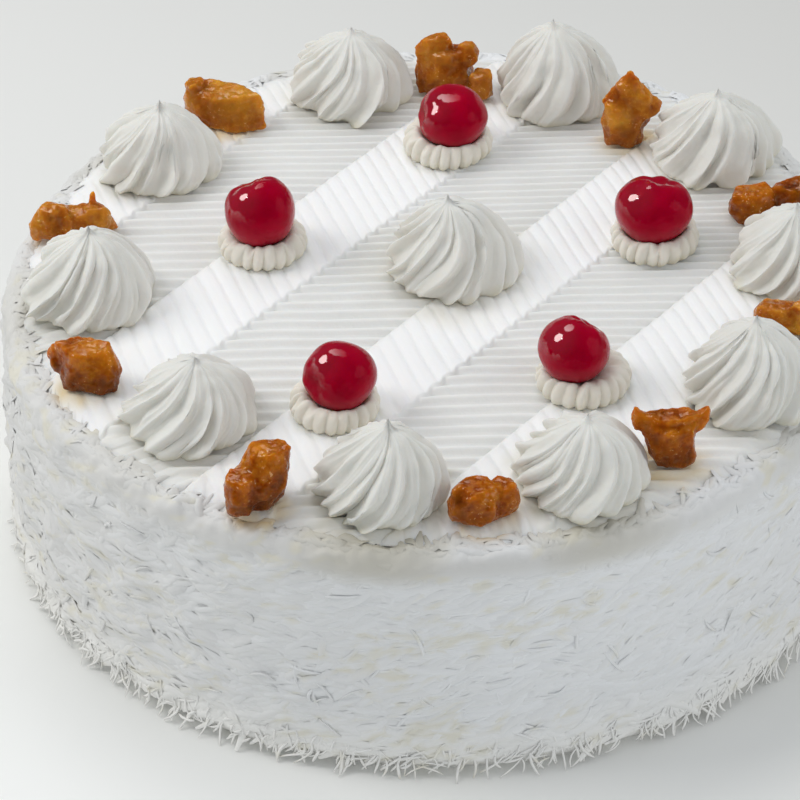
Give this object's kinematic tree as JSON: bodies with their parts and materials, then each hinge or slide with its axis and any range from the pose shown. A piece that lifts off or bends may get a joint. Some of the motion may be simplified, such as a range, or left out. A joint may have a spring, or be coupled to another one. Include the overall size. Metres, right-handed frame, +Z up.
{
  "type": "coconut cake",
  "caption": "Whole round coconut cake: combed white icing, shredded coconut on its side, piped swirls, candied cherries on rosettes and chunks of candied fruit.",
  "frame": {"origin": "middle of the cake's flat underside", "axes": "+Z up through the middle of the cake, +Y away from the viewer of the picture, +X to the viewer's right"},
  "size_m": [0.2486, 0.2465, 0.1013],
  "materials": {
    "icing": "soft matt white icing coated with shredded coconut",
    "piped_cream": "smooth satin off-white piped cream",
    "cherry": "wet gloss deep red candied skin",
    "candied_fruit": "sticky gloss amber brown candied fruit"
  },
  "bodies": {
    "root": {"cake_body": "icing", "swirl_01": "piped_cream", "swirl_02": "piped_cream", "swirl_03": "piped_cream", "swirl_04": "piped_cream", "swirl_05": "piped_cream", "swirl_06": "piped_cream", "swirl_07": "piped_cream", "swirl_08": "piped_cream", "swirl_09": "piped_cream", "swirl_10": "piped_cream", "swirl_centre": "piped_cream", "rosette_1": "piped_cream", "rosette_2": "piped_cream", "rosette_3": "piped_cream", "rosette_4": "piped_cream", "rosette_5": "piped_cream", "cherry_1": "cherry", "cherry_2": "cherry", "cherry_3": "cherry", "cherry_4": "cherry", "cherry_5": "cherry", "fruit_01": "candied_fruit", "fruit_02": "candied_fruit", "fruit_03": "candied_fruit", "fruit_04": "candied_fruit", "fruit_05": "candied_fruit", "fruit_06": "candied_fruit", "fruit_07": "candied_fruit", "fruit_08": "candied_fruit", "fruit_09": "candied_fruit", "fruit_10": "candied_fruit"}
  },
  "joints": []
}
